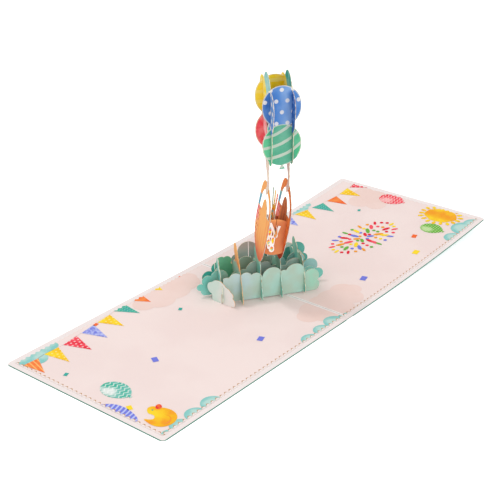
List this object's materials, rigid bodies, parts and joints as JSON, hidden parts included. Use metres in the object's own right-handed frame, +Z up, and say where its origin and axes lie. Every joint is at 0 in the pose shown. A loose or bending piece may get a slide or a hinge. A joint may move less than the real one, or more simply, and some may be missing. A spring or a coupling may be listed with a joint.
{
  "type": "pop-up greeting card",
  "caption": "Folded card lying open, with a slotted lattice of paper clouds that carries a swaying paper basket and a cluster of balloons above it.",
  "frame": {"origin": "middle of the fold, on the surface that the left panel lies on", "axes": "+X across the panels from the fold to the right panel, +Y along the fold away from the viewer, +Z up"},
  "size_m": [0.3997, 0.15, 0.1777],
  "materials": {
    "cover_board": "matte",
    "liner_paper": "matte",
    "cloud_mint": "matte",
    "cloud_teal": "matte",
    "cloud_cross": "matte",
    "basket_side": "matte",
    "basket_wall": "matte",
    "topper_print": "matte",
    "balloon_front": "matte",
    "balloon_back": "matte",
    "balloon_cross": "matte"
  },
  "bodies": {
    "root": {"cover": "cover_board", "liner_left": "liner_paper", "liner_right": "liner_paper", "small_cloud_left": "cloud_mint", "small_cloud_right": "cloud_mint", "cloud_long_1": "cloud_mint", "cloud_long_2": "cloud_teal", "cloud_long_3": "cloud_teal", "cloud_long_4": "cloud_teal", "cloud_cross_1": "cloud_cross", "cloud_cross_2": "cloud_cross", "cloud_cross_5": "cloud_cross", "basket_side_left": "basket_side", "basket_side_right": "basket_side", "basket_front_wall": "basket_wall", "basket_back_wall": "basket_wall", "topper": "topper_print", "bow": "topper_print", "balloon_cross_left": "balloon_cross", "balloon_cross_right": "balloon_cross", "balloon_long_front": "balloon_front", "balloon_long_back": "balloon_back"}
  },
  "joints": []
}
